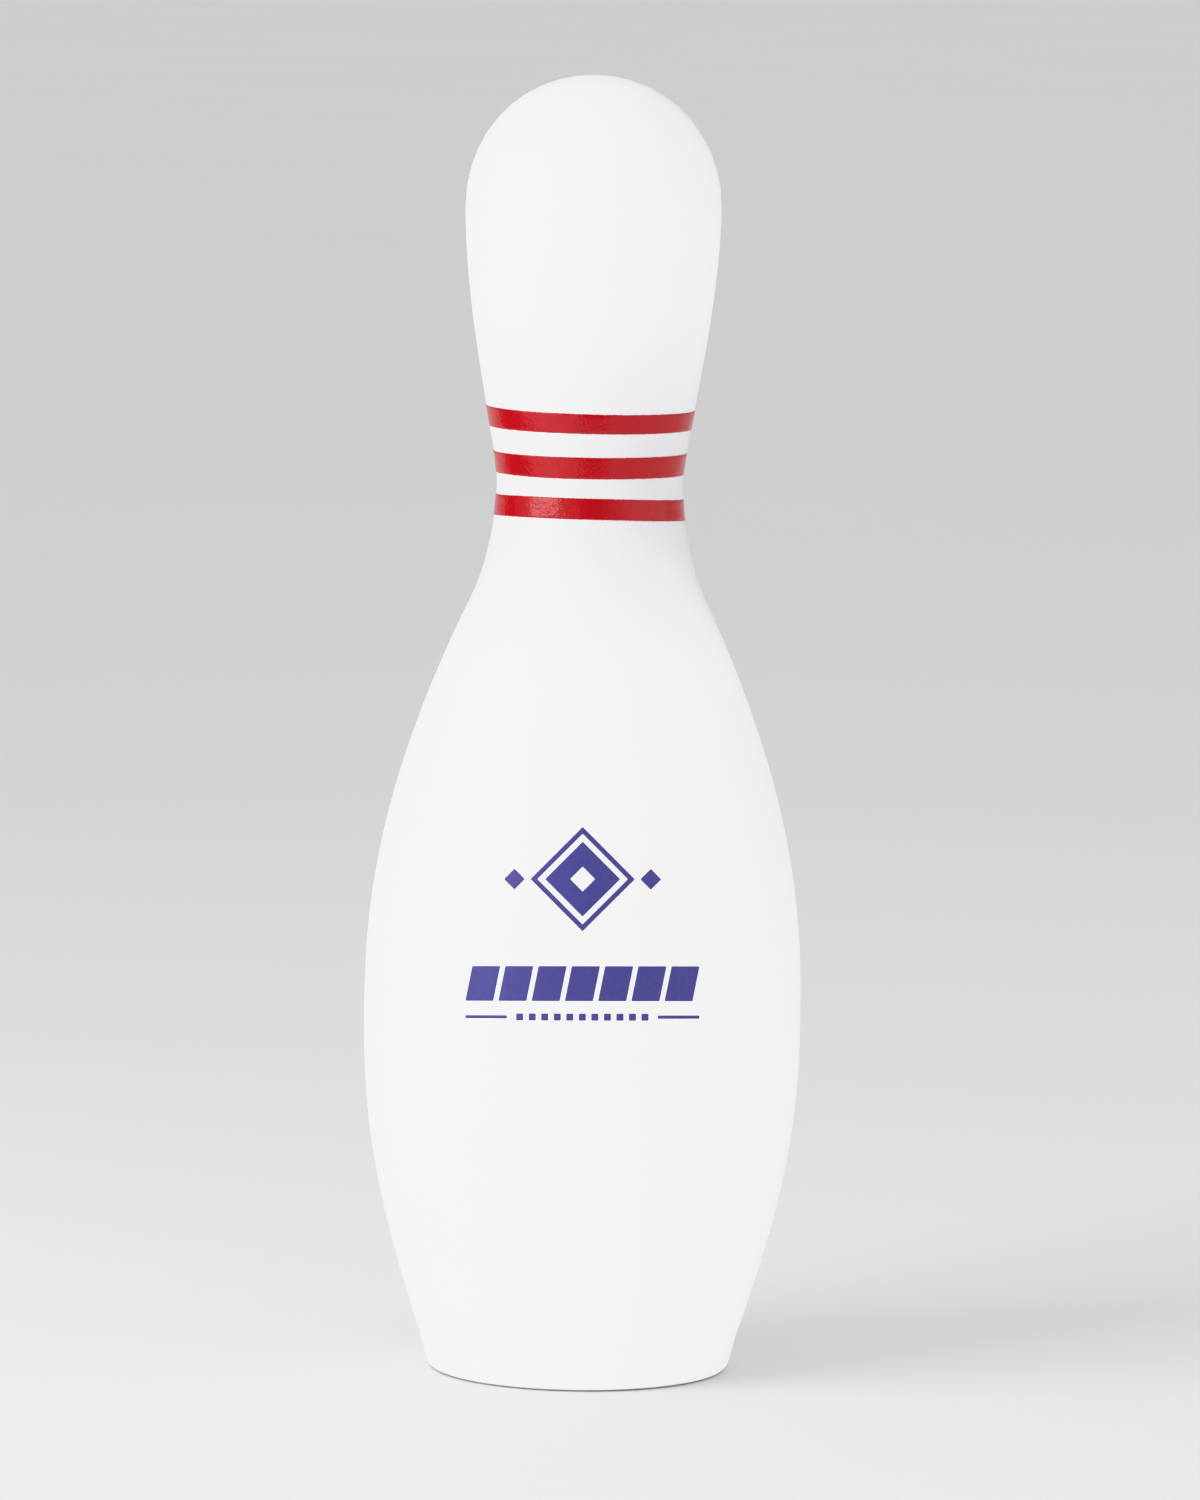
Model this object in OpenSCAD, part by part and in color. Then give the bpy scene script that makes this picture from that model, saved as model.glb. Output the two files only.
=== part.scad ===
// Tenpin bowling pin: a turned core of glued maple staves, a nylon base ring locked into the core's foot,
// a white coat moulded over both down to the resting face, three painted neck stripes and a one-colour print.
// Millimetres. The origin is the centre of the resting face, +Z runs up the pin and the print faces -Y.

/* [Outline] */
// Height of the pin
pin_h = 381; // [378:1:384]
// Radius of the foot's rounded corner
foot_corner = 3.3; // [3.2:0.1:4]
// Height of the foot band, where the flank changes slope
band_h = 10; // [9:0.5:11]
// Diameter at the top of the foot band
band_d = 93.4; // [92:0.2:95]
// Slope of the foot band, in degrees from upright
band_angle = 15; // [12:0.5:16]
// Slope of the flank above the band, in degrees from upright
flank_angle = 18.5; // [17:0.5:21]
// Height of the widest part of the belly
belly_z = 106; // [98:1:114]
// Diameter of the belly
belly_d = 128.4; // [124:0.2:132]
// Height of the steepest part of the shoulder
shoulder_z = 228; // [224:1:232]
// Diameter at the steepest part of the shoulder
shoulder_d = 68.8; // [66:0.2:72]
// Slope there, in degrees from upright
shoulder_angle = 25.5; // [22:0.5:28]
// Height of the narrowest part of the neck
neck_z = 262.5; // [258:0.5:266]
// Diameter of the neck
neck_d = 54.5; // [52:0.5:58]
// Height of the widest part of the head
head_z = 342.5; // [336:0.5:346]
// Diameter of the head
head_d = 74.7; // [72:0.1:76]

/* [Coat and stripes] */
// Thickness of the moulded coat
coat_t = 3; // [2:0.1:3.1]
// Thickness of the stripe paint
stripe_t = 0.15; // [0.1:0.05:0.3]
// Height of the middle stripe
stripe_z = 267.9; // [265:0.1:270]
// Distance from one stripe's centre line to the next
stripe_pitch = 13.15; // [11:0.05:14]
// Width of the upper stripe
upper_w = 5.8; // [4:0.1:8]
// Width of the middle stripe
middle_w = 6.3; // [4:0.1:8]
// Width of the lower stripe
lower_w = 6.2; // [4:0.1:8]
// How far the lower stripe rises towards the print side, in degrees
lower_rise = 2.9; // [0:0.1:3]
// How far the lower stripe falls towards +X, in degrees
lower_fall = 1; // [0:0.1:3]

/* [Front print] */
// Thickness of the print ink
ink_t = 0.1; // [0.05:0.05:0.2]
// Width of the whole print
print_w = 67.4; // [50:0.2:70]
// Height of the block row's centre on the belly
print_z = 122.4; // [116:0.2:126]
// How far the print is turned on the belly, in degrees
print_turn = 0.7; // [-3:0.1:3]
// How far from above the print is laid on, in degrees
print_tilt = 7.3; // [0:0.1:10]
// Height of one block
block_h = 10; // [6:0.5:11]
// Number of blocks in the row
block_count = 7; // [4:1:9]
// Distance from the block row up to the emblem's centre
emblem_up = 30; // [26:0.5:32]
// Half diagonal of the emblem's outer lozenge
emblem_r = 15; // [12:0.5:18]
// Distance from the block row down to the fine line
rule_down = 9.6; // [8:0.1:11]

/* [Core and base] */
// Thickness of one layer of maple
ply_t = 23; // [22:0.5:24]
// Half width of the centre stave
centre_half = 20; // [17:0.5:22]
// Sideways offset of the glue joint in the layers beside the centre one
joint_offset = 6; // [2:0.5:10]
// Recess of the wood inside the base ring
wood_recess = 1.5; // [0.5:0.25:2.5]
// Diameter of the centring bore in the foot
bore_d = 19; // [16:0.5:20]
// Depth of the centring bore
bore_depth = 50; // [30:1:60]
// Inner diameter of the base ring
ring_in_d = 60; // [56:1:62]
// Thickness of the ring's floor
floor_t = 4; // [3:0.5:5]
// Height of the ring's locking tongue, from the floor plane
tongue_top = 18; // [14:1:24]

/* [Hidden] */

$fn = 96;
facet_len = 5;            // length of one straight step along the outline
corner_steps = 6;         // steps round the foot's corner
seam_angle = 15;          // how far round the corner, from straight down, the coat meets the ring
reach = pin_h + 20;       // longer than the pin, for cutting boxes

rebate_r = 40;            // the core's foot is turned down to this radius to take the ring
tongue_in_r = 33;
tongue_out_r = 36.5;
barb_h = 0.6;             // how far a barb stands out from the tongue
barb_pitch = 3.5;
barb_count = 3;
ring_edge = 0.8;          // chamfer on the ring's inner lower edge
bore_edge = 1;            // chamfer at the bore's mouth
drill_angle = 59;         // half angle of the bore's drilled end

emblem_line = 1.4;        // line width of the emblem's outer lozenge
emblem_gap = 1.6;         // clear space inside that line
side_r = 3;               // half diagonal of the small lozenges beside the emblem
block_gap = 1.5;
block_slant = 2;          // how far a block leans over its own height
rule_t = 0.9;             // height of the thin bars
rule_end = 12;            // length of each thin bar
dot_w = 2;                // side of a small square between the bars
dot_count = 11;
dot_span = 36;            // from the first small square's centre to the last one's

band_top = [band_d / 2, band_h];
belly = [belly_d / 2, belly_z];
shoulder = [shoulder_d / 2, shoulder_z];
neck = [neck_d / 2, neck_z];
head = [head_d / 2, head_z];
crown = [0, pin_h];
up = [0, 1];
band_dir = [sin(band_angle), cos(band_angle)];
band_side = [cos(band_angle), -sin(band_angle)];
flank_dir = [sin(flank_angle), cos(flank_angle)];
shoulder_dir = [-sin(shoulder_angle), cos(shoulder_angle)];

// The foot's corner is an arc that runs from the floor into the straight band
band_rise = band_h - foot_corner * (1 - sin(band_angle));
corner_centre = band_top - band_rise / cos(band_angle) * band_dir - foot_corner * band_side;

// The outline above the band is five cubic curves, each given by its end points and its two handles
curves = [
    [band_top, band_top + 46 * flank_dir, belly - 30.5 * up, belly],
    [belly, belly + 26.5 * up, shoulder - 66 * shoulder_dir, shoulder],
    [shoulder, shoulder + 11 * shoulder_dir, neck - 11 * up, neck],
    [neck, neck + 9 * up, head - 30.5 * up, head],
    [head, head + 22.5 * up, crown + [20.5, 0], crown]
];

function on_curve(c, t) =
    c[0] * pow(1 - t, 3) + 3 * c[1] * t * pow(1 - t, 2) + 3 * c[2] * t * t * (1 - t) + c[3] * pow(t, 3);

function along_curve(c, t) =
    (c[1] - c[0]) * pow(1 - t, 2) + 2 * (c[2] - c[1]) * t * (1 - t) + (c[3] - c[2]) * t * t;

// A point of the curve, moved the given depth into the pin
function inset_point(c, t, depth) =
    let (d = along_curve(c, t)) on_curve(c, t) - depth * [d[1], -d[0]] / norm(d);

function steps_of(c) = ceil(norm(c[3] - c[0]) / facet_len);

// The outline from the top of the band to the crown, the given depth below the surface
function outline(depth) = concat(
    [for (c = curves) for (i = [0 : steps_of(c) - 1]) inset_point(c, i / steps_of(c), depth)],
    [crown - [0, depth]]);

function reversed(list) = [for (i = [len(list) - 1 : -1 : 0]) list[i]];

// The foot's corner between two angles from straight down, the given depth below the surface
function corner(from, to, depth) = [for (i = [0 : corner_steps]) let (a = from + (to - from) * i / corner_steps)
    corner_centre + (foot_corner - depth) * [sin(a), -cos(a)]];

coat_outside = concat(corner(seam_angle, 90 - band_angle, 0), outline(0));
coat_foot = corner(seam_angle, 90 - band_angle, coat_t);   // the coat's inside at the foot, against the ring
land = outline(coat_t)[0];   // top of the ring, where the coat's inside passes on to the core
centre_face = ply_t / 2;     // Y of the centre layer's faces
layer_face = 3 * ply_t / 2;  // Y of the outer faces of the two layers beside it

// The layer between two depths
module layer_section(outer, inner) {
    polygon(concat(outline(outer), reversed(outline(inner))));
}

module ring_section() {
    ring_r = ring_in_d / 2;
    polygon(concat(
        [[ring_r, ring_edge], [ring_r + ring_edge, 0]],
        corner(0, seam_angle, 0), coat_foot,
        [land, [rebate_r, land[1]], [rebate_r, floor_t], [tongue_out_r, floor_t]],
        [for (i = [1 : barb_count]) for (p = [[0, 0], [barb_h, 0.3], [0, 2]])
            [tongue_out_r + p[0], floor_t + i * barb_pitch + p[1]]],
        [[tongue_out_r, tongue_top], [tongue_in_r, tongue_top], [tongue_in_r, floor_t], [ring_r, floor_t]]));
}

module bore_section() {
    r = bore_d / 2;
    end = wood_recess + bore_depth;
    polygon([[0, 0], [r + bore_edge, 0], [r + bore_edge, wood_recess], [r, wood_recess + bore_edge],
             [r, end], [0, end + r / tan(drill_angle)]]);
}

// The whole turned core, before it is seen as separate staves
module core() {
    rotate_extrude() difference() {
        polygon(concat([[0, wood_recess], [rebate_r, wood_recess], [rebate_r, land[1]]], outline(coat_t)));
        ring_section();
        bore_section();
    }
}

// The part of the core between two X planes and two Y planes
module stave(x_low, x_high, y_low, y_high) {
    color("burlywood") intersection() {
        core();
        translate([x_low, y_low, -10]) cube([x_high - x_low, y_high - y_low, reach]);
    }
}

module stave_centre() {
    stave(-centre_half, centre_half, -centre_face, centre_face);
}

module stave_left() {
    stave(-reach, -centre_half, -centre_face, centre_face);
}

module stave_right() {
    stave(centre_half, reach, -centre_face, centre_face);
}

module ply_front_left() {
    stave(-reach, joint_offset, -layer_face, -centre_face);
}

module ply_front_right() {
    stave(joint_offset, reach, -layer_face, -centre_face);
}

module ply_back_left() {
    stave(-reach, -joint_offset, centre_face, layer_face);
}

module ply_back_right() {
    stave(-joint_offset, reach, centre_face, layer_face);
}

module cheek_front() {
    stave(-reach, reach, -reach, -layer_face);
}

module cheek_back() {
    stave(-reach, reach, layer_face, reach);
}

module base_ring() {
    color("whitesmoke") rotate_extrude() ring_section();
}

module coat() {
    color("white") rotate_extrude() polygon(concat(coat_outside, reversed(concat(coat_foot, outline(coat_t)))));
}

// A band of paint on the coat between two leaning planes; taper is the upper one's extra fall towards +X
module stripe(z, w, rise = 0, fall = 0, taper = 0) {
    color("crimson") intersection() {
        rotate_extrude() layer_section(-stripe_t, 0);
        translate([0, 0, z - w / 2]) rotate([-rise, fall, 0]) translate([-50, -50, 0]) cube([100, 100, 3 * w]);
        translate([0, 0, z + w / 2]) rotate([-rise, fall + taper, 0])
            translate([-50, -50, -3 * w]) cube([100, 100, 3 * w]);
    }
}

module stripe_upper() {
    stripe(stripe_z + stripe_pitch, upper_w, -0.3, 0.4, 0.45);
}

module stripe_middle() {
    stripe(stripe_z, middle_w, 0.1, 0.1);
}

module stripe_lower() {
    stripe(stripe_z - stripe_pitch, lower_w, lower_rise, lower_fall);
}

// Ink laid on the print side, with its children as the artwork, drawn about the block row's centre
module print_film() {
    color("slateblue") intersection() {
        rotate_extrude() intersection() {
            layer_section(-ink_t, 0);
            translate([0, belly_z - 20]) square([belly_d, 100]);
        }
        translate([0, -belly_d / 2, print_z]) rotate([90 - print_tilt, 0, 0])
            linear_extrude(60, center = true) rotate(print_turn) children();
    }
}

module lozenge(r) {
    polygon([[r, 0], [0, r], [-r, 0], [0, -r]]);
}

module print_emblem() {
    line = emblem_line * sqrt(2);
    core_r = emblem_r - line - emblem_gap * sqrt(2);
    print_film() translate([0, emblem_up]) {
        difference() {
            lozenge(emblem_r);
            lozenge(emblem_r - line);
        }
        difference() {
            lozenge(core_r);
            lozenge(core_r / 3);
        }
        for (side = [-1, 1]) translate([side * (emblem_r + side_r + emblem_gap), 0]) lozenge(side_r);
    }
}

module print_blocks() {
    w = (print_w - block_slant - (block_count - 1) * block_gap) / block_count;
    print_film() translate([-print_w / 2, -block_h / 2])
        for (i = [0 : block_count - 1]) translate([i * (w + block_gap), 0])
            polygon([[0, 0], [w, 0], [w + block_slant, block_h], [block_slant, block_h]]);
}

module print_rule() {
    print_film() translate([0, -rule_down]) {
        for (side = [-1, 1]) translate([side * (print_w - rule_end) / 2, 0]) square([rule_end, rule_t], true);
        for (i = [0 : dot_count - 1]) translate([dot_span * (i / (dot_count - 1) - 0.5), 0]) square(dot_w, true);
    }
}

stave_centre();
stave_left();
stave_right();
ply_front_left();
ply_front_right();
ply_back_left();
ply_back_right();
cheek_front();
cheek_back();
base_ring();
coat();
stripe_upper();
stripe_middle();
stripe_lower();
print_emblem();
print_blocks();
print_rule();
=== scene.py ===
"""Bowling pin: a white moulded coat over a maple core, three painted neck stripes and a one-colour print.
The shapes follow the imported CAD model; Blender 4.5, metres, +Z up, the print faces -Y."""
import math

import bmesh
import bpy
import numpy as np
from mathutils import Matrix, Vector


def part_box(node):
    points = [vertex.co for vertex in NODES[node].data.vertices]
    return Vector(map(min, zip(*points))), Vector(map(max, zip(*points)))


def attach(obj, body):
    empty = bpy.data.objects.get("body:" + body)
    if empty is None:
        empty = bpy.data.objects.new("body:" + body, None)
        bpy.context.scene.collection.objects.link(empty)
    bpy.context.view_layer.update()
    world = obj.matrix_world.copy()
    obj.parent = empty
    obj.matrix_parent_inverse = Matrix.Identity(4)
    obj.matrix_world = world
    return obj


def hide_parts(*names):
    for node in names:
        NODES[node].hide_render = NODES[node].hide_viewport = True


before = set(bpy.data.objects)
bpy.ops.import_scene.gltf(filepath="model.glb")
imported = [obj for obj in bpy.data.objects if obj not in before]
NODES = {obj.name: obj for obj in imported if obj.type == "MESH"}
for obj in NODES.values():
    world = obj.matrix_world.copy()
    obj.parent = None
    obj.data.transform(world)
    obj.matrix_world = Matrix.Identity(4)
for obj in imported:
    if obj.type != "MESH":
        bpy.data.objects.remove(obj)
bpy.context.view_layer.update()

MM = 0.001

# Turned surfaces
PIN_HEIGHT = 381 * MM
SEGMENTS = 224              # round the coat
STRIPE_SEGMENTS = 720       # round a stripe, fine enough for its rough edges
RING_STEP = 2.0 * MM        # along the coat's outline
FINE_STEP = 0.25 * MM       # along the outline that films are laid on
SAME_POINT = 0.02 * MM      # section points closer than this are one point
SEAM_EDGE = 0.25 * MM       # rounding of the coat's and the ring's edges where they meet
MOST_CUT = 0.4              # share of a straight side that the rounding of one corner may take

# The moulded coat's faint unevenness
SWELL = 0.03 * MM           # its depth
SWELL_WAVES = 9             # how many waves are added up
SWELL_TURNS = 5             # a wave repeats fewer times than this round the pin
SWELL_RISES = (2, 9)        # half waves from the foot to the crown
SWELL_EVEN = 3.0            # the sum of waves at which the depth levels off
PHASE = 6.28                # a wave starts anywhere in its turn

# Seeds of the random draws
SWELL_SEED = 11
STRIPE_SEED = 20            # and one more for each stripe
MAPLE_SEED = 100            # and one more for each stave

# Paint and ink
BURIED = 0.04 * MM          # how far a film's underside lies in the coat
STRIPE_EDGE = 0.28 * MM     # width over which a stripe's edge thins out
STRIPE_PROFILE = ((0.0, 0.0), (0.35, 0.7), (1.0, 1.0))     # across that edge: place and thickness, as shares
STRIPE_ROWS = 6             # steps across a stripe between its edges
# A painted edge's waves: fewest and most turns round the neck, how many waves, their size in millimetres
EDGE_WAVES = ((2, 9, 4, 0.02), (18, 60, 14, 0.009), (80, 300, 40, 0.011))
WEAKEST_WAVE = 0.4          # as a share of that size
EDGE_ROUNDS = 8             # rounds in which a stripe's edge settles on its plane
EDGE_SHARE = 0.8            # share of a stripe's half width beyond which a point lies on its edge
INK_EDGE = 0.12 * MM
INK_RIM = 0.25              # the ink's thickness at its rim, as a share
INK_GRID = 0.5 * MM
GRID_SHIFT = 0.37           # keeps the grid off the artwork's own edges
GRID_MISS = 1e-7            # ink points nearer the grid than this aren't cut
WELD = 0.002 * MM           # ink points closer than this become one
INK_CORNER = 0.25 * MM      # rounding of the artwork's corners
PRINT_TILT = math.radians(7.3)
PRINT_TURN = math.radians(0.7)

# Artwork: widths that the CAD node's own box doesn't give
BLOCKS = 7
BLOCK_GAP = 1.5 * MM
BLOCK_SLANT = 2.0 * MM
EMBLEM_LINE = 1.4 * MM * math.sqrt(2)
EMBLEM_GAP = 1.6 * MM
RULE_BAR = (12.0 * MM, 0.9 * MM)
DOTS = 11
DOT_SIZE = 2.0 * MM
DOT_SPAN = 36.0 * MM
FRONT_REACH = 0.1           # farther out along the print's direction than any point of the coat
HALVINGS = 40               # of that way, to find the coat on it

# Colours: linear red, green and blue
COAT_TONES = (0.872, 0.863, 0.875, 1), (0.893, 0.886, 0.893, 1)
# Painted shade: the coat's colour is greyed round the neck, standing in for the neck's shading
NECK_SHADE_TONE = (0.688, 0.674, 0.695, 1)
SPECK = (0.35, 0.33, 0.33, 1)
STRIPE_TONES = (0.412, 0.0005, 0.0050, 1), (0.448, 0.0010, 0.0070, 1)
INK_TONES = (0.047, 0.041, 0.240, 1), (0.056, 0.050, 0.262, 1)
NYLON_TONES = (0.70, 0.685, 0.63, 1), (0.76, 0.745, 0.70, 1)
SCUFF = (0.47, 0.45, 0.42, 1)
EARLY_WOOD = (0.62, 0.44, 0.275)
LATE_WOOD = (0.50, 0.325, 0.185)
PORE = (0.23, 0.13, 0.065, 1)
GLUE = (0.30, 0.17, 0.075, 1)
FLOOR_TONES = (0.675, 0.675, 0.68, 1), (0.69, 0.69, 0.695, 1)
FLAG_BLACK = (0.02, 0.02, 0.02, 1)

# Surface features, in millimetres
NECK_SHADE_Z = 262.0         # height of the painted shade that greys the coat round the neck
NECK_SHADE_FADE = (4, 58)    # how far above and below that it starts to fade and is gone
LATHE_PITCH = 0.42          # between the grooves on the nylon ring
GLUE_LINE = (0.10, 0.28)    # how far from a joint the glue starts to fade and is gone
SPECK_SPACING = 26
SPECK_SIZE = 0.012          # as a share of that spacing
SPECK_DARKNESS = 0.65
HEART_AWAY = (60, 140)      # from the pin's axis to a stave's own tree heart, along X and along Y
HEART_LEAN = 0.05           # most that the heart leans from the axis, in radians
RING_WIDTH = (1.8, 3.0)     # between year rings
WAVE_PERIOD = 0.314         # of a ring wave texture at scale 1

# Camera, floor and light, in metres, degrees and watts
CAMERA_AT = (0.0041, -2.477, 0.438)
CAMERA_DOWN = 5.872
CAMERA_ROLL = 0.82
LENS, SENSOR = 203.48, 36.0     # millimetres
CLIP = (0.1, 400.0)
FLOOR_RADIUS = 150.0
FLOOR_SIDES = 64
WORLD = 0.92                # strength of the white studio round the pin
WORLD_MIRRORED = 0.36       # the same as reflections see it
LIGHT_AIM = Vector((0, 0, 0.2))
GLOW_SIZE = 1.8
GLOW_POWER = 3.4
GLOW_LIFT = 0.5 * MM        # above the floor
FLAG_STEPS = 12             # along a black card's curve

# Brightness in and out: plain up to the middle, a little lifted above it, and the whites eased off
WHITE_END = 2.4
WHITE_CURVE = ((0, 0), (0.35, 0.35), (0.58, 0.58), (0.70, 0.74), (0.80, 0.85),
               (0.95, 0.892), (1.2, 0.918), (1.5, 0.937), (WHITE_END, 0.97))

STAVES = ["stave_centre", "stave_left", "stave_right", "ply_front_left", "ply_front_right",
          "ply_back_left", "ply_back_right", "cheek_front", "cheek_back"]


# ---------------------------------------------------------------- section of a turned CAD node

def corners(node):
    """Every vertex of a CAD node, as rows of x, y and z."""
    return np.array([v.co for v in NODES[node].data.vertices], float)


def section(node):
    """A turned node's section: its corners (r, z) in order, highest first, and whether they close."""
    co = corners(node)
    rz = np.stack([np.hypot(co[:, 0], co[:, 1]), co[:, 2]], 1)
    points, owner = [], np.zeros(len(rz), int)
    for i, p in enumerate(rz):
        near = [k for k, q in enumerate(points) if abs(q[0] - p[0]) + abs(q[1] - p[1]) < SAME_POINT]
        if near:
            owner[i] = near[0]
        else:
            owner[i] = len(points)
            points.append(p)
    links = {k: set() for k in range(len(points))}
    for e in NODES[node].data.edges:
        a, b = owner[e.vertices[0]], owner[e.vertices[1]]
        if a != b:
            links[a].add(b)
            links[b].add(a)
    here = max(range(len(points)), key=lambda k: (points[k][1], -points[k][0]))
    start, chain = here, [here]
    while True:
        onward = [k for k in links[here] if k not in chain]
        if not onward:
            break
        here = min(onward, key=lambda k: np.hypot(*(points[k] - points[here])))
        chain.append(here)
    return np.array([points[k] for k in chain]), start in links[here]


def smooth_line(points, first_dir, last_dir, step):
    """A smooth curve through the points, as closely spaced points and their unit directions."""
    h = np.hypot(*np.diff(points, axis=0).T)
    d = np.diff(points, axis=0) / h[:, None]
    inner = (h[1:, None] * d[:-1] + h[:-1, None] * d[1:]) / (h[1:] + h[:-1])[:, None]
    m = np.vstack([first_dir, inner, last_dir])
    line, ways = [], []
    for i in range(len(h)):
        n = max(1, math.ceil(h[i] / step))
        last = i == len(h) - 1
        for t in np.linspace(0, 1, n + 1)[: n + 1 if last else n]:
            p0, p1, m0, m1 = points[i], points[i + 1], m[i] * h[i], m[i + 1] * h[i]
            line.append((2 * t**3 - 3 * t**2 + 1) * p0 + (t**3 - 2 * t**2 + t) * m0
                        + (3 * t**2 - 2 * t**3) * p1 + (t**3 - t**2) * m1)
            way = ((6 * t**2 - 6 * t) * (p0 - p1) + (3 * t**2 - 4 * t + 1) * m0 + (3 * t**2 - 2 * t) * m1)
            ways.append(way / np.hypot(*way))
    return np.array(line), np.array(ways)


def soften(points, radius, closed, sharpest=20.0, steps=4):
    """The same section with every corner sharper than the given angle rounded."""
    made = []
    n = len(points)
    for i, p in enumerate(points):
        if not closed and i in (0, n - 1):
            made.append(p)
            continue
        a, b = points[i - 1], points[(i + 1) % n]
        to_a, to_b = a - p, b - p
        la, lb = np.hypot(*to_a), np.hypot(*to_b)
        turn = math.degrees(math.acos(np.clip(-(to_a @ to_b) / (la * lb), -1, 1)))
        if turn < sharpest:
            made.append(p)
            continue
        cut = min(radius, MOST_CUT * la, MOST_CUT * lb)
        start, end = p + to_a / la * cut, p + to_b / lb * cut
        for t in np.linspace(0, 1, steps + 1):
            made.append((1 - t)**2 * start + 2 * t * (1 - t) * p + t * t * end)
    return np.array(made)


COAT, _ = section("coat")
FOOT = int(np.argmin(COAT[:, 1]))
OUTSIDE = COAT[: FOOT + 1][::-1]           # from the seam at the foot to the crown
INSIDE = COAT[FOOT + 1:][::-1]             # from the crown down to the foot
SEAM_WAY = (OUTSIDE[1] - OUTSIDE[0]) / np.hypot(*(OUTSIDE[1] - OUTSIDE[0]))
CROWN_WAY = np.array([-1.0, 0.0])
FINE, FINE_WAY = smooth_line(OUTSIDE, SEAM_WAY, CROWN_WAY, FINE_STEP)


def waves(seed):
    """Random slow waves over the skin: turns round the pin, half waves up it and their two phases."""
    rng = np.random.default_rng(seed)
    return [(int(rng.integers(0, SWELL_TURNS)), rng.uniform(*SWELL_RISES),
             rng.uniform(0, PHASE), rng.uniform(0, PHASE)) for _ in range(SWELL_WAVES)]


SWELLS = waves(SWELL_SEED)


def unevenness(theta, z):
    """How far the coat's surface lies below the CAD outline: nothing to SWELL."""
    total = sum(np.cos(k * theta + a) * np.cos(c * z / PIN_HEIGHT * math.pi + b) for k, c, a, b in SWELLS)
    return SWELL * (0.5 + 0.5 * np.tanh(total / SWELL_EVEN))


def skin(theta, z, lift):
    """Points on the coat at these angles (0 is +X) and heights, lifted along the surface's normal."""
    r = np.interp(z, FINE[:, 1], FINE[:, 0])
    way_r = np.interp(z, FINE[:, 1], FINE_WAY[:, 0])
    way_z = np.interp(z, FINE[:, 1], FINE_WAY[:, 1])
    size = np.hypot(way_r, way_z)
    out = lift - unevenness(theta, z)
    r = r + out * way_z / size
    z = z - out * way_r / size
    return np.stack([r * np.cos(theta), r * np.sin(theta), z], -1)


# ---------------------------------------------------------------- pieces

def add_object(name, data):
    """A new object in the scene."""
    obj = bpy.data.objects.new(name, data)
    bpy.context.scene.collection.objects.link(obj)
    return obj


def film_thickness(node):
    """How far a paint or ink node stands out of the coat."""
    co = corners(node)
    return float(np.max(np.hypot(co[:, 0], co[:, 1]) - np.interp(co[:, 2], OUTSIDE[:, 1], OUTSIDE[:, 0])))


def piece(name, verts, faces, slot, *replaced):
    """A mesh object that rides on the pin and stands for the CAD nodes."""
    mesh = bpy.data.meshes.new(name)
    mesh.from_pydata([tuple(v) for v in verts], [], [tuple(f) for f in faces])
    mesh.update()
    bm = bmesh.new()
    bm.from_mesh(mesh)
    bmesh.ops.recalc_face_normals(bm, faces=bm.faces)
    bm.to_mesh(mesh)
    bm.free()
    mesh.polygons.foreach_set("use_smooth", [True] * len(mesh.polygons))
    obj = add_object(name, mesh)
    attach(obj, "root")
    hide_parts(*replaced)
    return obj


def turned(rings, segments):
    """Vertices and faces from a closed row of rings, each a point per segment or a single one on the axis."""
    verts, starts = [], []
    for ring in rings:
        starts.append(len(verts))
        verts.extend(np.atleast_2d(ring))
    faces = []
    count = len(rings)
    for i in range(count):
        j = (i + 1) % count
        a_one, b_one = np.ndim(rings[i]) == 1, np.ndim(rings[j]) == 1
        if a_one and b_one:
            continue
        for s in range(segments):
            t = (s + 1) % segments
            if a_one:
                faces.append((starts[i], starts[j] + s, starts[j] + t))
            elif b_one:
                faces.append((starts[i] + s, starts[i] + t, starts[j]))
            else:
                faces.append((starts[i] + s, starts[i] + t, starts[j] + t, starts[j] + s))
    return verts, faces


def circle(r, z, theta):
    """A ring of points, or a single point where it would lie on the axis."""
    if r < SAME_POINT:
        return np.array([0.0, 0.0, z])
    return np.stack([r * np.cos(theta), r * np.sin(theta), np.full_like(theta, z)], -1)


def make_coat():
    theta = np.linspace(0, 2 * math.pi, SEGMENTS, endpoint=False)
    line, _ = smooth_line(OUTSIDE, SEAM_WAY, CROWN_WAY, RING_STEP)
    seam = np.array([INSIDE[-1], line[0], line[1] + (line[1] - line[0])])
    edge = soften(seam, SEAM_EDGE, closed=False)[1:-1]
    rings = [circle(r, z, theta) for r, z in edge[:-1]]
    for r, z in line[1:-1]:
        rings.append(skin(theta, np.full_like(theta, z), 0.0))
    rings.append(np.array([0.0, 0.0, line[-1][1] - SWELL / 2]))
    rings += [circle(r, z, theta) for r, z in INSIDE]
    verts, faces = turned(rings, SEGMENTS)
    return piece("coat_shell", verts, faces, "coat_white", "coat")


def make_base():
    theta = np.linspace(0, 2 * math.pi, SEGMENTS, endpoint=False)
    points, closed = section("base_ring")
    points = soften(points, SEAM_EDGE, closed)
    verts, faces = turned([circle(r, z, theta) for r, z in points], SEGMENTS)
    return piece("base_ring_body", verts, faces, "base_nylon", "base_ring")


def edge_plane(co, side):
    """Height over X and Y of a stripe's upper (side 1) or lower (side -1) edge: z = a + b x + c y."""
    flat = np.stack([np.ones(len(co)), co[:, 0], co[:, 1]], 1)
    fit = np.linalg.lstsq(flat, co[:, 2], rcond=None)[0]
    off = side * (co[:, 2] - flat @ fit)
    chosen = off > EDGE_SHARE * off.max()
    return np.linalg.lstsq(flat[chosen], co[chosen, 2], rcond=None)[0]


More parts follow.
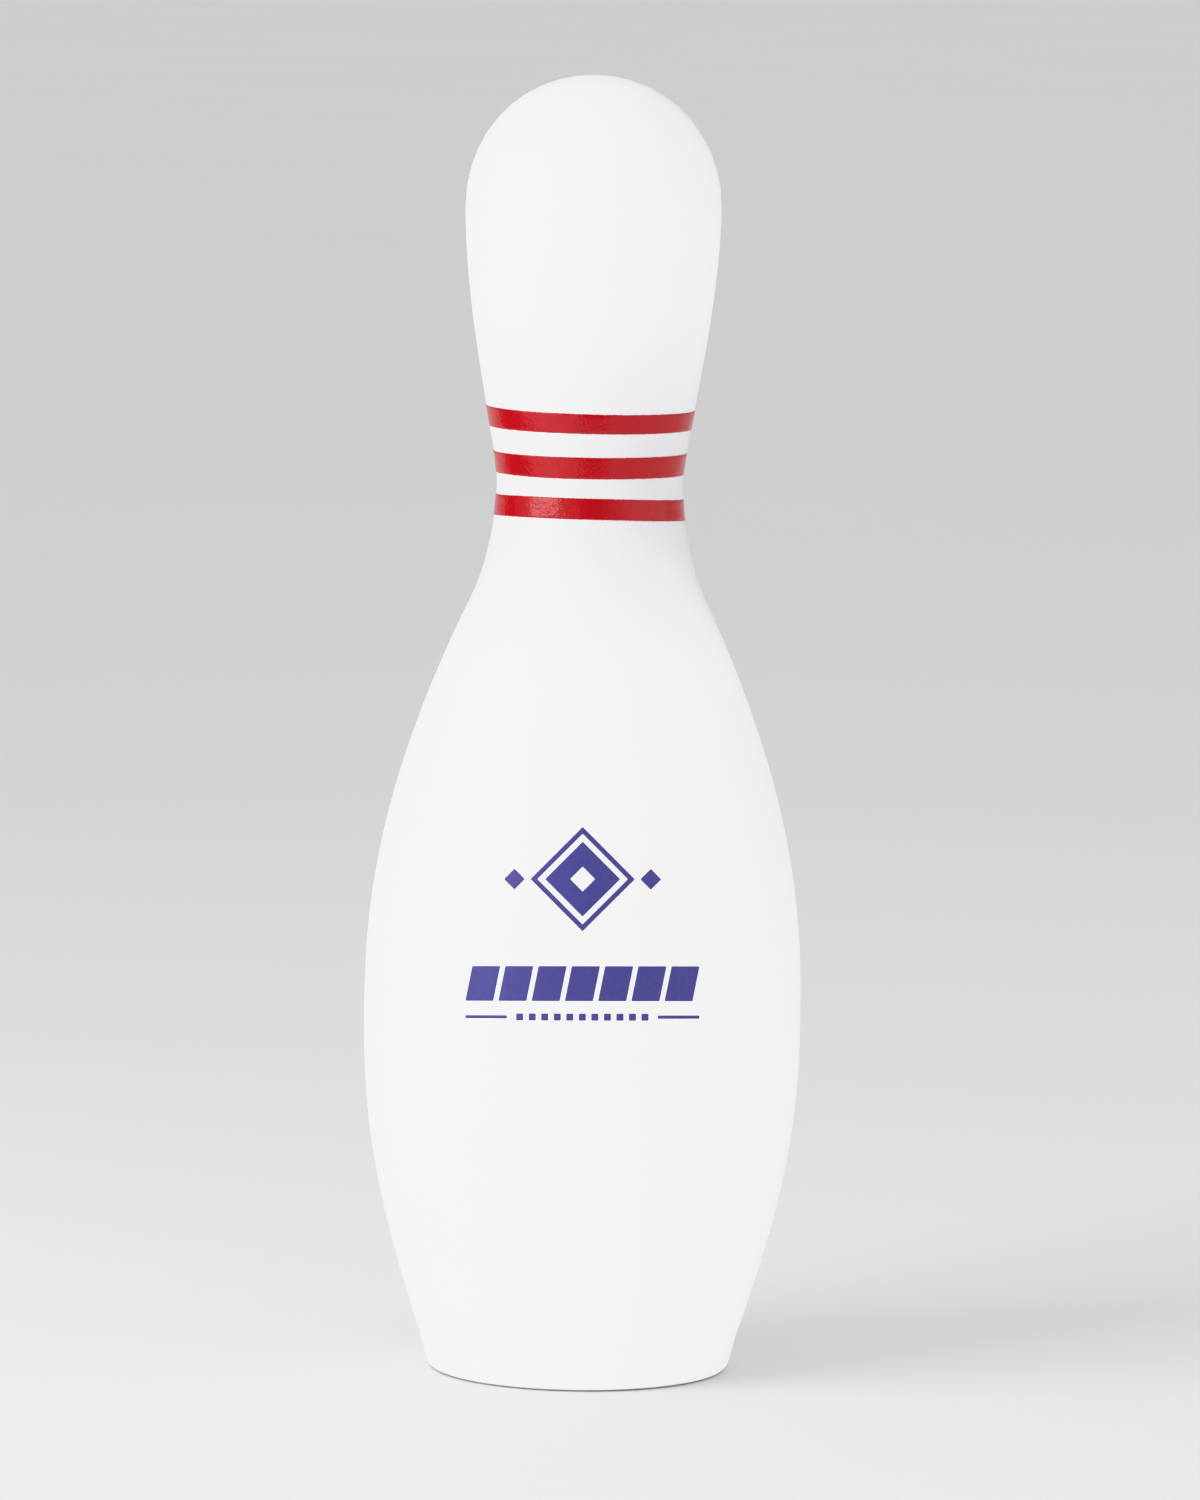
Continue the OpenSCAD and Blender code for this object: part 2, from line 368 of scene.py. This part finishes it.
def rough_edge(rng, theta):
    """A painted edge's small irregularities round the neck."""
    total = np.zeros_like(theta)
    for fewest, most, count, size in EDGE_WAVES:
        for _ in range(count):
            height = size * rng.uniform(WEAKEST_WAVE, 1)
            turns = int(rng.integers(fewest, most))
            total += height * np.cos(turns * theta + rng.uniform(0, PHASE))
    return total * MM


def make_stripe(node, seed):
    rng = np.random.default_rng(seed)
    theta = np.linspace(0, 2 * math.pi, STRIPE_SEGMENTS, endpoint=False)
    thick = film_thickness(node)
    edges = []
    for side in (-1, 1):
        a, b, c = edge_plane(corners(node), side)
        z = np.full_like(theta, a)
        for _ in range(EDGE_ROUNDS):
            r = np.interp(z, FINE[:, 1], FINE[:, 0])
            z = a + b * r * np.cos(theta) + c * r * np.sin(theta)
        edges.append(z + rough_edge(rng, theta))
    low, high = edges
    flat = high - low - 2 * STRIPE_EDGE
    across = [(share * STRIPE_EDGE, t) for share, t in STRIPE_PROFILE]
    rows = [(low + d, t) for d, t in across]
    rows += [(low + STRIPE_EDGE + flat * k / STRIPE_ROWS, 1.0) for k in range(1, STRIPE_ROWS)]
    rows += [(high - d, t) for d, t in reversed(across)]
    rings = [skin(theta, z, t * thick) for z, t in rows]
    rings += [skin(theta, z, -BURIED) for z, _ in reversed(rows)]
    verts, faces = turned(rings, STRIPE_SEGMENTS)
    return piece(node + "_paint", verts, faces, "stripe_paint", node)


# Artwork axes: across the print, up the print and out of the print
OUT = np.array([0.0, -math.cos(PRINT_TILT), math.sin(PRINT_TILT)])
UP = np.array([0.0, math.sin(PRINT_TILT), math.cos(PRINT_TILT)])
ACROSS = np.array([1.0, 0.0, 0.0])
ART_U = math.cos(PRINT_TURN) * ACROSS + math.sin(PRINT_TURN) * UP
ART_V = math.cos(PRINT_TURN) * UP - math.sin(PRINT_TURN) * ACROSS


def art_box(node):
    """Lowest and highest (u, v) of a print node in the artwork's own plane."""
    co = corners(node)
    uv = np.stack([co @ ART_U, co @ ART_V], 1)
    return uv.min(0), uv.max(0)


def on_front(uv):
    """The angle and height at which points of the artwork land on the coat's front."""
    base = uv[:, :1] * ART_U + uv[:, 1:] * ART_V
    near, far = np.zeros(len(uv)), np.full(len(uv), FRONT_REACH)
    for _ in range(HALVINGS):
        s = (near + far) / 2
        p = base + s[:, None] * OUT
        outside = np.hypot(p[:, 0], p[:, 1]) > np.interp(p[:, 2], FINE[:, 1], FINE[:, 0])
        near, far = np.where(outside, near, s), np.where(outside, s, far)
    p = base + far[:, None] * OUT
    return np.arctan2(p[:, 1], p[:, 0]), p[:, 2]


def rounded(points, radius=INK_CORNER):
    return soften(np.array(points, float), radius, closed=True, sharpest=5.0, steps=3)


def ink_piece(name, node, shapes):
    """Ink over flat shapes: each is an outline, or a pair of outlines with the second one left open."""
    bm = bmesh.new()
    for shape in shapes:
        if isinstance(shape, tuple):
            loops = [[bm.verts.new((u, v, 0)) for u, v in loop] for loop in shape]
            for i in range(len(loops[0])):
                j = (i + 1) % len(loops[0])
                bm.faces.new((loops[0][i], loops[0][j], loops[1][j], loops[1][i]))
        else:
            bm.faces.new([bm.verts.new((u, v, 0)) for u, v in shape])
    bm.normal_update()
    bmesh.ops.inset_region(bm, faces=bm.faces[:], thickness=INK_EDGE, use_boundary=True, use_even_offset=True)
    co = np.array([v.co for v in bm.verts], float)
    for axis in (0, 1):
        for k in range(math.ceil(co[:, axis].min() / INK_GRID), math.ceil(co[:, axis].max() / INK_GRID)):
            at, normal = [0.0, 0.0, 0.0], [0.0, 0.0, 0.0]
            at[axis], normal[axis] = (k + GRID_SHIFT) * INK_GRID, 1.0
            bmesh.ops.bisect_plane(bm, geom=bm.verts[:] + bm.edges[:] + bm.faces[:],
                                   plane_co=at, plane_no=normal, dist=GRID_MISS)
    bmesh.ops.remove_doubles(bm, verts=bm.verts[:], dist=WELD)
    bm.verts.index_update()
    rim = {v.index for v in bm.verts if any(e.is_boundary for e in v.link_edges)}
    flat = np.array([v.co[:2] for v in bm.verts], float)
    edges = [[v.index for v in e.verts] for e in bm.edges if e.is_boundary]
    tops = [[v.index for v in f.verts] for f in bm.faces]
    bm.free()
    theta, z = on_front(flat)
    thick = np.array([INK_RIM if i in rim else 1.0 for i in range(len(flat))]) * INK
    upper, lower = skin(theta, z, thick), skin(theta, z, np.full(len(flat), -BURIED))
    n = len(flat)
    faces = tops + [[i + n for i in reversed(f)] for f in tops] + [(a, b, b + n, a + n) for a, b in edges]
    return piece(name, np.vstack([upper, lower]), faces, "print_ink", node)


def lozenge(centre, r):
    u, v = centre
    return rounded([(u + r, v), (u, v + r), (u - r, v), (u, v - r)], min(INK_CORNER, r / 6))


def box_shape(centre, size):
    (u, v), (w, h) = centre, (size[0] / 2, size[1] / 2)
    return rounded([(u - w, v - h), (u + w, v - h), (u + w, v + h), (u - w, v + h)], min(INK_CORNER, h / 2))


INK = film_thickness("print_blocks")


def make_print():
    (u0, v0), (u1, v1) = art_box("print_emblem")
    centre, r = ((u0 + u1) / 2, (v0 + v1) / 2), (v1 - v0) / 2
    core = r - EMBLEM_LINE - EMBLEM_GAP * math.sqrt(2)
    side = ((u1 - u0) / 2 - r - EMBLEM_GAP) / 2
    shapes = [(lozenge(centre, r), lozenge(centre, r - EMBLEM_LINE)),
              (lozenge(centre, core), lozenge(centre, core / 3))]
    shapes += [lozenge((centre[0] + s * (r + side + EMBLEM_GAP), centre[1]), side) for s in (-1, 1)]
    made = [ink_piece("print_emblem_ink", "print_emblem", shapes)]

    (u0, v0), (u1, v1) = art_box("print_blocks")
    w = (u1 - u0 - BLOCK_SLANT - (BLOCKS - 1) * BLOCK_GAP) / BLOCKS
    shapes = []
    for i in range(BLOCKS):
        u = u0 + i * (w + BLOCK_GAP)
        shapes.append(rounded([(u, v0), (u + w, v0), (u + w + BLOCK_SLANT, v1), (u + BLOCK_SLANT, v1)]))
    made.append(ink_piece("print_blocks_ink", "print_blocks", shapes))

    (u0, v0), (u1, v1) = art_box("print_rule")
    u, v = (u0 + u1) / 2, (v0 + v1) / 2
    shapes = [box_shape((u + s * (u1 - u0 - RULE_BAR[0]) / 2, v), RULE_BAR) for s in (-1, 1)]
    shapes += [box_shape((u + DOT_SPAN * (i / (DOTS - 1) - 0.5), v), (DOT_SIZE, DOT_SIZE))
               for i in range(DOTS)]
    made.append(ink_piece("print_rule_ink", "print_rule", shapes))
    return made


# ---------------------------------------------------------------- materials

class Shader:
    """A material's node tree, with positions in millimetres in the pin's frame."""

    def __init__(self, name, **surface):
        self.material = bpy.data.materials.new(name)
        self.material.use_nodes = True
        self.tree = self.material.node_tree
        self.surface = self.tree.nodes["Principled BSDF"]
        for key, value in surface.items():
            self.surface.inputs[key.replace("_", " ")].default_value = value
        self.place = self.add("ShaderNodeTexCoord").outputs["Object"]

    def add(self, kind, inputs=None, **settings):
        node = self.tree.nodes.new(kind)
        for key, value in settings.items():
            setattr(node, key, value)
        for key, value in (inputs or {}).items():
            if isinstance(value, bpy.types.NodeSocket):
                self.tree.links.new(value, node.inputs[key])
            else:
                node.inputs[key].default_value = value
        return node

    def at(self, scale=(1, 1, 1), shift=(0, 0, 0), turn=(0, 0, 0)):
        """Position in millimetres, stretched, turned and shifted."""
        return self.add("ShaderNodeMapping", {
            "Vector": self.place, "Scale": [s / MM for s in scale], "Location": shift, "Rotation": turn,
        }).outputs["Vector"]

    def noise(self, size, detail=2.0, rough=0.5, **where):
        """Noise whose grains are about this many millimetres across."""
        return self.add("ShaderNodeTexNoise", {
            "Vector": self.at(**where), "Scale": 1 / size, "Detail": detail, "Roughness": rough,
        }).outputs["Fac"]

    def ramp(self, value, low, high, to_low=0.0, to_high=1.0):
        return self.add("ShaderNodeMapRange", {
            "Value": value, "From Min": low, "From Max": high, "To Min": to_low, "To Max": to_high,
        }).outputs["Result"]

    def math(self, operation, a, b=0.0, c=0.0):
        return self.add("ShaderNodeMath", {0: a, 1: b, 2: c}, operation=operation).outputs[0]

    def mix(self, factor, a, b):
        node = self.add("ShaderNodeMix", {0: factor}, data_type="RGBA")
        for socket, value in ((node.inputs[6], a), (node.inputs[7], b)):
            if isinstance(value, bpy.types.NodeSocket):
                self.tree.links.new(value, socket)
            else:
                socket.default_value = value
        return node.outputs[2]

    def bump(self, height, depth_mm, under=None):
        inputs = {"Height": height, "Distance": depth_mm * MM, "Strength": 1.0}
        if under is not None:
            inputs["Normal"] = under
        return self.add("ShaderNodeBump", inputs).outputs["Normal"]

    def plug(self, socket, value):
        self.tree.links.new(value, self.surface.inputs[socket])

    def on(self, *objects):
        for obj in objects:
            obj.data.materials.clear()
            obj.data.materials.append(self.material)


def coat_material():
    """Satin white plastic: fine orange peel, faint tone changes, tiny dark specks, and a painted shade that
    greys the neck.
    """
    m = Shader("coat_white_satin", IOR=1.46)
    tone = m.mix(m.ramp(m.noise(38, 2), 0.35, 0.65), *COAT_TONES)
    # Painted shade: a band round the neck's height is greyed, standing in for shade on the narrow neck
    height = m.add("ShaderNodeSeparateXYZ", {"Vector": m.at()}).outputs["Z"]
    off_neck = m.math("ABSOLUTE", m.math("SUBTRACT", height, NECK_SHADE_Z))
    fades, gone = NECK_SHADE_FADE
    neck = m.add("ShaderNodeMapRange", {
        "Value": off_neck, "From Min": fades, "From Max": gone, "To Min": 1, "To Max": 0,
    }, interpolation_type="SMOOTHSTEP").outputs["Result"]
    tone = m.mix(neck, tone, NECK_SHADE_TONE)
    cells = m.add("ShaderNodeTexVoronoi", {"Vector": m.at(), "Scale": 1 / SPECK_SPACING})
    near = m.math("LESS_THAN", cells.outputs["Distance"], SPECK_SIZE)
    few = m.math("GREATER_THAN", m.noise(31, 0, shift=(7, 3, 1)), 0.56)
    speck = m.math("MULTIPLY", m.math("MULTIPLY", near, few), SPECK_DARKNESS)
    m.plug("Base Color", m.mix(speck, tone, SPECK))
    m.plug("Roughness", m.ramp(m.noise(9, 3), 0.3, 0.7, 0.34, 0.40))
    peel = m.bump(m.noise(0.85, 2, 0.55), 0.12)
    m.plug("Normal", m.bump(m.noise(6, 1), 0.08, peel))
    return m


def stripe_material():
    """Red paint: slightly uneven film that shows the coat's peel."""
    m = Shader("stripe_red_paint", IOR=1.43)
    tone = m.mix(m.ramp(m.noise(4.2, 3), 0.3, 0.7), *STRIPE_TONES)
    m.plug("Base Color", tone)
    m.plug("Roughness", m.ramp(m.noise(2.4, 3), 0.3, 0.7, 0.15, 0.20))
    peel = m.bump(m.noise(0.85, 1, 0.5), 0.10)
    m.plug("Normal", m.bump(m.noise(4.0, 1), 0.13, peel))
    return m


def ink_material():
    """Matt violet-blue print ink, a little thinner here and there."""
    m = Shader("print_violet_ink", IOR=1.42)
    tone = m.mix(m.ramp(m.noise(1.6, 3, 0.6), 0.35, 0.7), *INK_TONES)
    m.plug("Base Color", tone)
    m.plug("Roughness", m.ramp(m.noise(1.1, 2), 0.3, 0.7, 0.44, 0.54))
    m.plug("Normal", m.bump(m.noise(0.45, 2, 0.6), 0.02))
    return m


def nylon_material():
    """Natural nylon with fine turning grooves and scattered scuffs."""
    m = Shader("base_nylon", IOR=1.53)
    place = m.add("ShaderNodeSeparateXYZ", {"Vector": m.at()})
    x, y = place.outputs["X"], place.outputs["Y"]
    radius = m.math("SQRT", m.math("ADD", m.math("MULTIPLY", x, x), m.math("MULTIPLY", y, y)))
    wobble = m.math("ADD", radius, m.ramp(m.noise(6, 2), 0, 1, -0.12, 0.12))
    grooves = m.math("SINE", m.math("MULTIPLY", wobble, 2 * math.pi / LATHE_PITCH))
    tone = m.mix(m.ramp(m.noise(16, 3), 0.35, 0.65), *NYLON_TONES)
    scuff = m.ramp(m.noise(2.2, 4, 0.7), 0.60, 0.72, 0.0, 0.30)
    m.plug("Base Color", m.mix(scuff, tone, SCUFF))
    m.plug("Roughness", m.ramp(m.noise(3, 3), 0.3, 0.7, 0.38, 0.50))
    m.plug("Normal", m.bump(m.noise(0.5, 3, 0.6), 0.006, m.bump(grooves, 0.006)))
    return m


def maple_material(node, index):
    """Hard maple for one stave: year rings round its tree's heart, pores along the grain, glue at joints."""
    m = Shader("maple_" + node, IOR=1.5)
    rng = np.random.default_rng(MAPLE_SEED + index)
    heart = (*(rng.uniform(*HEART_AWAY) * rng.choice([-1, 1]) for _ in "xy"), 0)
    lean = (*(rng.uniform(-HEART_LEAN, HEART_LEAN) for _ in "xy"), 0)
    rings = m.add("ShaderNodeTexWave", {
        "Vector": m.at(shift=heart, turn=lean), "Scale": WAVE_PERIOD / rng.uniform(*RING_WIDTH),
        "Distortion": 2.5, "Detail": 2.0, "Detail Scale": 0.25,
    }, wave_type="RINGS", rings_direction="Z", wave_profile="SAW").outputs["Fac"]
    shade = rng.uniform(0.93, 1.05)
    early = tuple(shade * c for c in EARLY_WOOD) + (1,)
    late = tuple(shade * c for c in LATE_WOOD) + (1,)
    wood = m.mix(m.ramp(rings, 0.55, 1.0), early, late)
    figure = m.noise(7, 3, 0.6, scale=(1, 1, 0.10), shift=(index * 31.0, 0, 0))
    wood = m.mix(m.ramp(figure, 0.35, 0.75, 0.0, 0.45), wood, tuple(0.8 * c for c in late[:3]) + (1,))
    pores = m.noise(0.35, 2, 0.6, scale=(1, 1, 0.05), shift=(index * 17.0, 5, 0))
    wood = m.mix(m.ramp(pores, 0.60, 0.72, 0.0, 0.5), wood, PORE)
    low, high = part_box(node)
    place = m.add("ShaderNodeSeparateXYZ", {"Vector": m.at()})
    near = None
    for axis, output in ((0, "X"), (1, "Y")):
        for plane in (low[axis], high[axis]):
            gap = m.math("ABSOLUTE", m.math("SUBTRACT", place.outputs[output], plane / MM))
            near = gap if near is None else m.math("MINIMUM", near, gap)
    glue = m.ramp(near, *GLUE_LINE, 0.75, 0.0)
    m.plug("Base Color", m.mix(glue, wood, GLUE))
    m.plug("Roughness", m.ramp(pores, 0.3, 0.7, 0.50, 0.66))
    m.plug("Normal", m.bump(m.math("ADD", pores, m.math("MULTIPLY", rings, 0.4)), 0.03))
    return m


def flag_material():
    return Shader("flag_black", Base_Color=FLAG_BLACK, Roughness=0.9, IOR=1.2)


def floor_material():
    m = Shader("floor_pale", Roughness=0.85, IOR=1.3)
    m.plug("Base Color", m.mix(m.noise(900, 2), *FLOOR_TONES))
    return m


# ---------------------------------------------------------------- camera, floor and light

def make_camera():
    data = bpy.data.cameras.new("camera")
    data.lens, data.sensor_width = LENS, SENSOR
    data.clip_start, data.clip_end = CLIP
    camera = add_object("camera", data)
    tilt, roll = math.radians(90 - CAMERA_DOWN), math.radians(CAMERA_ROLL)
    turned_so = Matrix.Rotation(tilt, 4, "X") @ Matrix.Rotation(roll, 4, "Z")
    camera.matrix_world = Matrix.Translation(CAMERA_AT) @ turned_so
    bpy.context.scene.camera = camera


def soften_whites():
    """Plain colours with the brightest whites eased off, so that the white coat keeps its shading."""
    view = bpy.context.scene.view_settings
    view.view_transform = "Standard"
    view.use_curve_mapping = True
    mapping = view.curve_mapping
    mapping.white_level = (WHITE_END,) * 3
    curve = mapping.curves[3]
    for x, y in WHITE_CURVE[1:-1]:
        curve.points.new(x / WHITE_END, y)
    for point, (x, y) in zip((curve.points[0], curve.points[-1]), (WHITE_CURVE[0], WHITE_CURVE[-1])):
        point.location = (x / WHITE_END, y)
    mapping.update()


def area_light(name, azimuth, elevation, distance, size, power):
    """A soft rectangle of light. Azimuth 0 is in front of the print and 90 to the pin's right."""
    data = bpy.data.lights.new(name, "AREA")
    data.shape, (data.size, data.size_y) = "RECTANGLE", size
    data.energy = power
    lamp = add_object(name, data)
    a, e = math.radians(azimuth), math.radians(elevation)
    back = Vector((math.sin(a) * math.cos(e), -math.cos(a) * math.cos(e), math.sin(e)))
    lamp.location = LIGHT_AIM + back * distance
    lamp.rotation_euler = (-back).to_track_quat("-Z", "Y").to_euler()


def table_glow():
    """The white table's own brightness round the pin's foot."""
    data = bpy.data.lights.new("table_glow", "AREA")
    data.shape, data.size, data.energy = "SQUARE", GLOW_SIZE, GLOW_POWER
    lamp = add_object("table_glow", data)
    lamp.location = (0, 0, GLOW_LIFT)
    lamp.rotation_euler = (math.pi, 0, 0)
    lamp.visible_camera = lamp.visible_glossy = False


def make_floor():
    mesh = bpy.data.meshes.new("floor")
    angles = [2 * math.pi * k / FLOOR_SIDES for k in range(FLOOR_SIDES)]
    ring = [(FLOOR_RADIUS * math.cos(a), FLOOR_RADIUS * math.sin(a), 0) for a in angles]
    mesh.from_pydata(ring, [], [tuple(range(FLOOR_SIDES))])
    floor = add_object("floor", mesh)
    floor_material().on(floor)


def make_world():
    """A plain white studio all round."""
    world = bpy.data.worlds.new("studio")
    bpy.context.scene.world = world
    world.use_nodes = True
    tree = world.node_tree
    background = tree.nodes["Background"]
    background.inputs["Color"].default_value = (1, 1, 1, 1)
    seen = tree.nodes.new("ShaderNodeLightPath")
    strength = tree.nodes.new("ShaderNodeMix")
    strength.inputs["A"].default_value, strength.inputs["B"].default_value = WORLD, WORLD_MIRRORED
    tree.links.new(seen.outputs["Is Glossy Ray"], strength.inputs["Factor"])
    tree.links.new(strength.outputs["Result"], background.inputs["Strength"])


def make_flag(name, distance, rows):
    """A curved black card that only reflections see: rows of height, first azimuth and last azimuth."""
    verts, faces = [], []
    count = FLAG_STEPS + 1
    for row, (z, first, last) in enumerate(rows):
        for k in range(count):
            a = math.radians(first + (last - first) * k / FLAG_STEPS)
            verts.append((distance * math.sin(a), -distance * math.cos(a), z))
            if row and k:
                here = row * count + k
                faces.append((here - count - 1, here - count, here, here - 1))
    mesh = bpy.data.meshes.new(name)
    mesh.from_pydata(verts, [], faces)
    flag = add_object(name, mesh)
    flag.visible_camera = flag.visible_diffuse = flag.visible_shadow = False
    flag_material().on(flag)


make_camera()
soften_whites()
make_floor()
make_world()
make_flag("flag_camera", 0.45, [(0.08, -13, 21), (0.75, -13, 21)])
make_flag("flag_left", 0.6, [(0.0, -122, -62), (0.27, -124, -99), (0.6, -124, -99)])
area_light("softbox_left", -57, 18, 1.4, (1.0, 0.85), 10.3)
area_light("fill_right", 76, 15, 1.8, (2.2, 1.1), 4.5)
table_glow()

coat_material().on(make_coat())
nylon_material().on(make_base())
stripe_material().on(*[make_stripe(node, STRIPE_SEED + k)
                       for k, node in enumerate(("stripe_upper", "stripe_middle", "stripe_lower"))])
ink_material().on(*make_print())
for index, node in enumerate(STAVES):
    maple_material(node, index).on(NODES[node])
